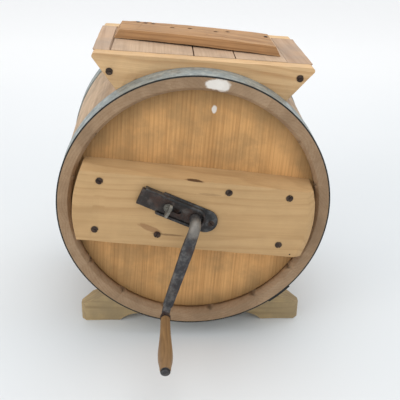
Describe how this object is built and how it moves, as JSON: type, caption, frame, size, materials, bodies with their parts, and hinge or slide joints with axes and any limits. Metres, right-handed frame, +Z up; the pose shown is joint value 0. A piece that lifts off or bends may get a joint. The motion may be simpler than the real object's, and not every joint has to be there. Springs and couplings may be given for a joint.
{
  "type": "butter churn",
  "caption": "Table-top barrel butter churn: coopered tub lying on two feet, hand crank with paddle dasher, flared filling hopper with a lift-off lid.",
  "frame": {"origin": "on the floor, under the middle of the bounding box", "axes": "+Y along the barrel and the crank axis towards the rear, -Y is the crank end (front); +X to the right seen from the front; +Z up"},
  "size_m": [0.3442, 0.4266, 0.3838],
  "materials": {
    "stave_wood": "weathered, oiled",
    "head_wood": "warm pine, dry satin",
    "crossbar_wood": "pale worn softwood, dry",
    "hopper_wood": "pale softwood, worn rims",
    "lid_wood": "weathered, dry",
    "batten_wood": "worn softwood, dry",
    "foot_wood": "weathered, dry",
    "grip_wood": "turned, polished by use",
    "dasher_wood": "plain softwood",
    "hoop_steel": "dull zinc grey, stained",
    "crank_iron": "dark, worn bright on the edges",
    "bracket_iron": "dark, slightly rusted",
    "screw_iron": "rusted brown"
  },
  "bodies": {
    "barrel": {"stave_01": "stave_wood", "stave_02": "stave_wood", "stave_03": "stave_wood", "stave_04": "stave_wood", "stave_05": "stave_wood", "stave_06": "stave_wood", "stave_07": "stave_wood", "stave_08": "stave_wood", "stave_09": "stave_wood", "stave_10": "stave_wood", "stave_11": "stave_wood", "stave_12": "stave_wood", "stave_13": "stave_wood", "stave_14": "stave_wood", "stave_15": "stave_wood", "stave_16": "stave_wood", "front_head_left": "head_wood", "front_head_middle": "head_wood", "front_head_right": "head_wood", "rear_head_left": "head_wood", "rear_head_middle": "head_wood", "rear_head_right": "head_wood", "front_hoop": "hoop_steel", "rear_hoop": "hoop_steel", "hoop_rivets": "hoop_steel", "front_crossbar": "crossbar_wood", "rear_crossbar": "crossbar_wood", "front_crossbar_screws": "screw_iron", "rear_crossbar_screws": "screw_iron", "hopper_front_board": "hopper_wood", "hopper_rear_board": "hopper_wood", "hopper_left_board": "hopper_wood", "hopper_right_board": "hopper_wood", "hopper_screws": "screw_iron", "front_foot": "foot_wood", "rear_foot": "foot_wood", "foot_screws": "screw_iron", "crank_bracket": "bracket_iron", "bracket_screws": "screw_iron", "shaft_bush": "bracket_iron", "rear_bearing": "bracket_iron"},
    "crank": {"crank": "crank_iron", "crank_collar": "crank_iron", "grip_washer": "crank_iron", "dasher_hub": "dasher_wood", "dasher_paddle_1": "dasher_wood", "dasher_paddle_2": "dasher_wood", "dasher_paddle_3": "dasher_wood", "dasher_paddle_4": "dasher_wood", "dasher_pins": "dasher_wood"},
    "grip": {"grip": "grip_wood"},
    "lid": {"lid_plank_left": "lid_wood", "lid_plank_middle": "lid_wood", "lid_plank_right": "lid_wood", "lid_batten": "batten_wood", "lid_nails": "screw_iron"},
    "latch": {"latch_plate": "bracket_iron"},
    "wing_screw": {"wing_screw": "crank_iron"}
  },
  "joints": [
    {"name": "crank_turn", "type": "hinge", "parent": "barrel", "child": "crank", "pos_m": [0, -0.07165, 0.19], "axis": [0, 1, 0], "continuous": true},
    {"name": "grip_turn", "type": "hinge", "parent": "crank", "child": "grip", "pos_m": [-0.03522, -0.16145, 0.07111], "axis": [0, 1, 0], "continuous": true},
    {"name": "lid_lift", "type": "slide", "parent": "barrel", "child": "lid", "axis": [0.0593, 0, 0.9982], "range_m": [0, 0.06]},
    {"name": "latch_slide", "type": "slide", "parent": "barrel", "child": "latch", "axis": [-0.9114, 0, 0.4115], "range_m": [0, 0.014]},
    {"name": "wing_turn", "type": "hinge", "parent": "barrel", "child": "wing_screw", "pos_m": [-0.0319, -0.07825, 0.2044], "axis": [0, -1, 0], "range_deg": [0, 360]}
  ]
}
